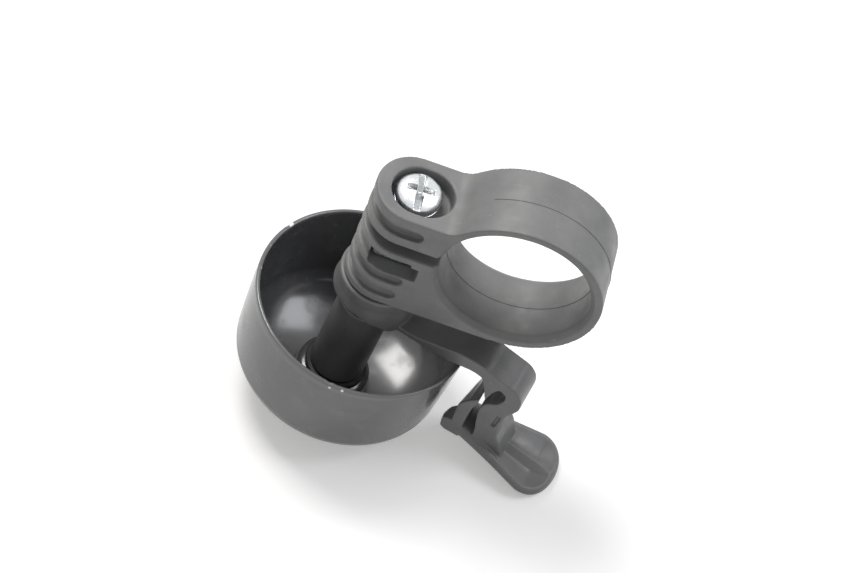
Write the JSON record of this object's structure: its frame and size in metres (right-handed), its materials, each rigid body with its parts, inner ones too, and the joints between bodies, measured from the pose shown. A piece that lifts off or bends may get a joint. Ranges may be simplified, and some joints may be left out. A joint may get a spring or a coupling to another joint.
{
  "type": "bicycle bell",
  "caption": "Handlebar bicycle bell: an upturned steel dome hung from a split plastic clamp band, struck by a sprung thumb lever with a moulded hammer.",
  "frame": {"origin": "centre of the handlebar bore", "axes": "+Y along the handlebar bore, +Z along the bell post from the dome to the clamp screw's head, +X from the post through the bore's centre"},
  "size_m": [0.0537, 0.034, 0.0547],
  "materials": {
    "bracket_plastic": "charcoal grey, matt moulded",
    "lever_plastic": "near-black, satin moulded",
    "painted_steel": "gloss black paint, chipped to bright steel at the rim",
    "zinc_steel": "bright zinc plate",
    "isolator_rubber": "matt black"
  },
  "bodies": {
    "frame": {"bracket": "bracket_plastic", "clamp_nut": "zinc_steel", "bell_dome": "painted_steel", "dome_isolator": "isolator_rubber", "dome_spacer": "lever_plastic", "dome_screw": "zinc_steel", "lever_arm": "lever_plastic"},
    "strap": {"clamp_strap": "bracket_plastic"},
    "washer": {"clamp_washer": "zinc_steel"},
    "screw": {"clamp_screw": "zinc_steel"},
    "hammer": {"hammer_lever": "lever_plastic"}
  },
  "joints": [
    {"name": "clamp_travel", "type": "slide", "parent": "frame", "child": "washer", "axis": [0, 0, 1], "range_m": [-0.0017, 0]},
    {"name": "clamp_screw_turn", "type": "hinge", "parent": "washer", "child": "screw", "pos_m": [-0.01724, 0, 0], "axis": [0, 0, 1], "range_deg": [-876, 0]},
    {"name": "strap_close", "type": "hinge", "parent": "frame", "child": "strap", "pos_m": [0.01205, 0, 0], "axis": [0, 1, 0], "range_deg": [-3.34, 0]},
    {"name": "hammer_flex", "type": "hinge", "parent": "frame", "child": "hammer", "pos_m": [0.00763, -0.00566, -0.0232], "axis": [0.2164, 0.9763, 0], "range_deg": [-12, 8], "stiffness_Nm_per_rad": 0.1}
  ],
  "couplings": [
    {"joint": "clamp_screw_turn", "follows": "clamp_travel", "rad_per_m": 8976},
    {"joint": "strap_close", "follows": "clamp_travel", "rad_per_m": 34.16}
  ]
}
